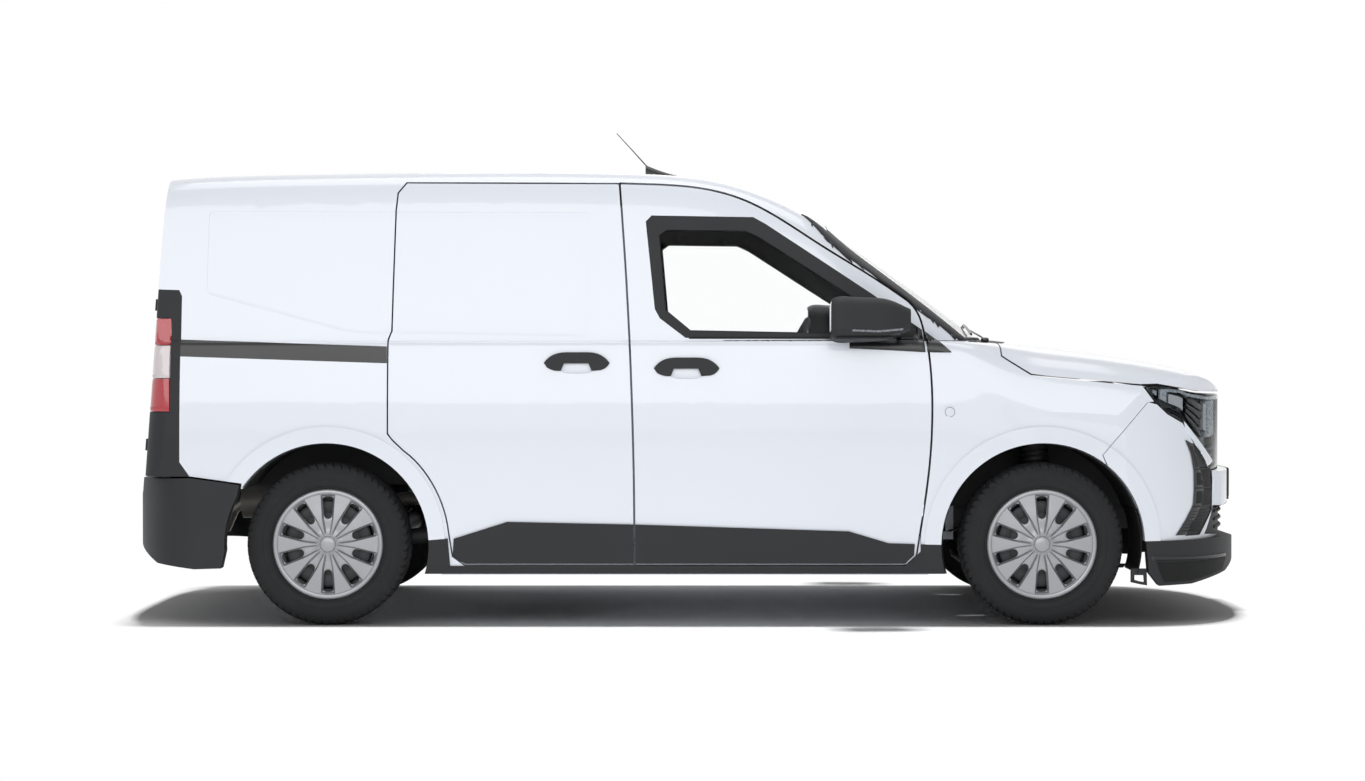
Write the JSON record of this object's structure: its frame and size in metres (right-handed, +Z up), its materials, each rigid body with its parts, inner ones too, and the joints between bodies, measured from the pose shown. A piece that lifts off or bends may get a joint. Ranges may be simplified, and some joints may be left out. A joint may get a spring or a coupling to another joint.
{
  "type": "compact panel van",
  "caption": "Compact panel van with sliding side doors, barn doors at the rear, an opening bonnet and steered front wheels.",
  "frame": {"origin": "on the ground below the middle of the outline", "axes": "+X forward, +Y to the left side, +Z up"},
  "size_m": [4.32, 2.1334, 1.927],
  "materials": {
    "body_white": "gloss white paint",
    "black_plastic": "grained, unpainted",
    "trim_black": "smooth",
    "window_glass": "clear",
    "lamp_cover": "clear over dark reflectors",
    "lamp_red": "moulded, red and clear",
    "tyre_rubber": "moulded",
    "wheel_silver": "silver paint",
    "chassis_steel": "coated",
    "engine_iron": "cast",
    "cabin_plastic": "grained",
    "seat_cloth": "woven"
  },
  "bodies": {
    "chassis": {"body_sides": "body_white", "roof_panel": "body_white", "front_wings": "body_white", "sliding_doors": "body_white", "front_bumper": "body_white", "door_posts": "body_white", "floor_pan": "body_white", "firewall": "body_white", "bulkhead": "body_white", "sliding_door_trims": "black_plastic", "sill_claddings": "black_plastic", "front_valance": "black_plastic", "rear_bumper": "black_plastic", "corner_trims": "black_plastic", "arch_liners": "black_plastic", "scuttle": "black_plastic", "antenna": "black_plastic", "slide_rails": "trim_black", "grille": "trim_black", "wipers": "trim_black", "windscreen": "window_glass", "headlamps": "lamp_cover", "tail_lamps": "lamp_red", "front_subframe": "chassis_steel", "rear_axle": "chassis_steel", "exhaust": "chassis_steel", "dashboard": "cabin_plastic", "steering_wheel": "cabin_plastic", "fuel_tank": "cabin_plastic", "seats": "seat_cloth", "engine_block": "engine_iron"},
    "bonnet": {"bonnet": "body_white"},
    "front_door_right": {"front_door_right": "body_white", "door_trim_right": "black_plastic", "door_glass_right": "window_glass"},
    "front_door_left": {"front_door_left": "body_white", "door_trim_left": "black_plastic", "door_glass_left": "window_glass"},
    "rear_door_right": {"rear_door_right": "body_white", "rear_trim_right": "black_plastic"},
    "rear_door_left": {"rear_door_left": "body_white", "rear_trim_left": "black_plastic"},
    "knuckle_right": {"knuckle_right": "chassis_steel"},
    "knuckle_left": {"knuckle_left": "chassis_steel"},
    "wheel_front_right": {"tyre_front_right": "tyre_rubber", "wheel_front_right": "wheel_silver"},
    "wheel_front_left": {"tyre_front_left": "tyre_rubber", "wheel_front_left": "wheel_silver"},
    "wheel_rear_right": {"tyre_rear_right": "tyre_rubber", "wheel_rear_right": "wheel_silver"},
    "wheel_rear_left": {"tyre_rear_left": "tyre_rubber", "wheel_rear_left": "wheel_silver"}
  },
  "joints": [
    {"name": "steer_right", "type": "hinge", "parent": "chassis", "child": "knuckle_right", "pos_m": [1.33, -0.68, 0.2], "axis": [0, 0.1807, 0.9835], "range_deg": [-33, 33]},
    {"name": "roll_front_right", "type": "hinge", "parent": "knuckle_right", "child": "wheel_front_right", "pos_m": [1.33, -0.775, 0.306], "axis": [0, 1, 0], "continuous": true},
    {"name": "roll_rear_right", "type": "hinge", "parent": "chassis", "child": "wheel_rear_right", "pos_m": [-1.37, -0.775, 0.306], "axis": [0, 1, 0], "continuous": true},
    {"name": "front_door_swing_right", "type": "hinge", "parent": "chassis", "child": "front_door_right", "pos_m": [0.909, -0.902, 0.6], "axis": [0, 0, 1], "range_deg": [0, 68]},
    {"name": "rear_door_swing_right", "type": "hinge", "parent": "chassis", "child": "rear_door_right", "pos_m": [-2.04902, -0.799, 1], "axis": [0.073, 0, 0.9973], "range_deg": [0, 170]},
    {"name": "steer_left", "type": "hinge", "parent": "chassis", "child": "knuckle_left", "pos_m": [1.33, 0.68, 0.2], "axis": [0, -0.1807, 0.9835], "range_deg": [-33, 33]},
    {"name": "roll_front_left", "type": "hinge", "parent": "knuckle_left", "child": "wheel_front_left", "pos_m": [1.33, 0.775, 0.306], "axis": [0, 1, 0], "continuous": true},
    {"name": "roll_rear_left", "type": "hinge", "parent": "chassis", "child": "wheel_rear_left", "pos_m": [-1.37, 0.775, 0.306], "axis": [0, 1, 0], "continuous": true},
    {"name": "front_door_swing_left", "type": "hinge", "parent": "chassis", "child": "front_door_left", "pos_m": [0.909, 0.902, 0.6], "axis": [0, 0, -1], "range_deg": [0, 68]},
    {"name": "rear_door_swing_left", "type": "hinge", "parent": "chassis", "child": "rear_door_left", "pos_m": [-2.04902, 0.799, 1], "axis": [-0.073, 0, -0.9973], "range_deg": [0, 170]},
    {"name": "bonnet_lift", "type": "hinge", "parent": "chassis", "child": "bonnet", "pos_m": [1.17, 0, 1.09], "axis": [0, -1, 0], "range_deg": [0, 55]}
  ],
  "couplings": [
    {"joint": "steer_left", "follows": "steer_right", "ratio": 1}
  ]
}
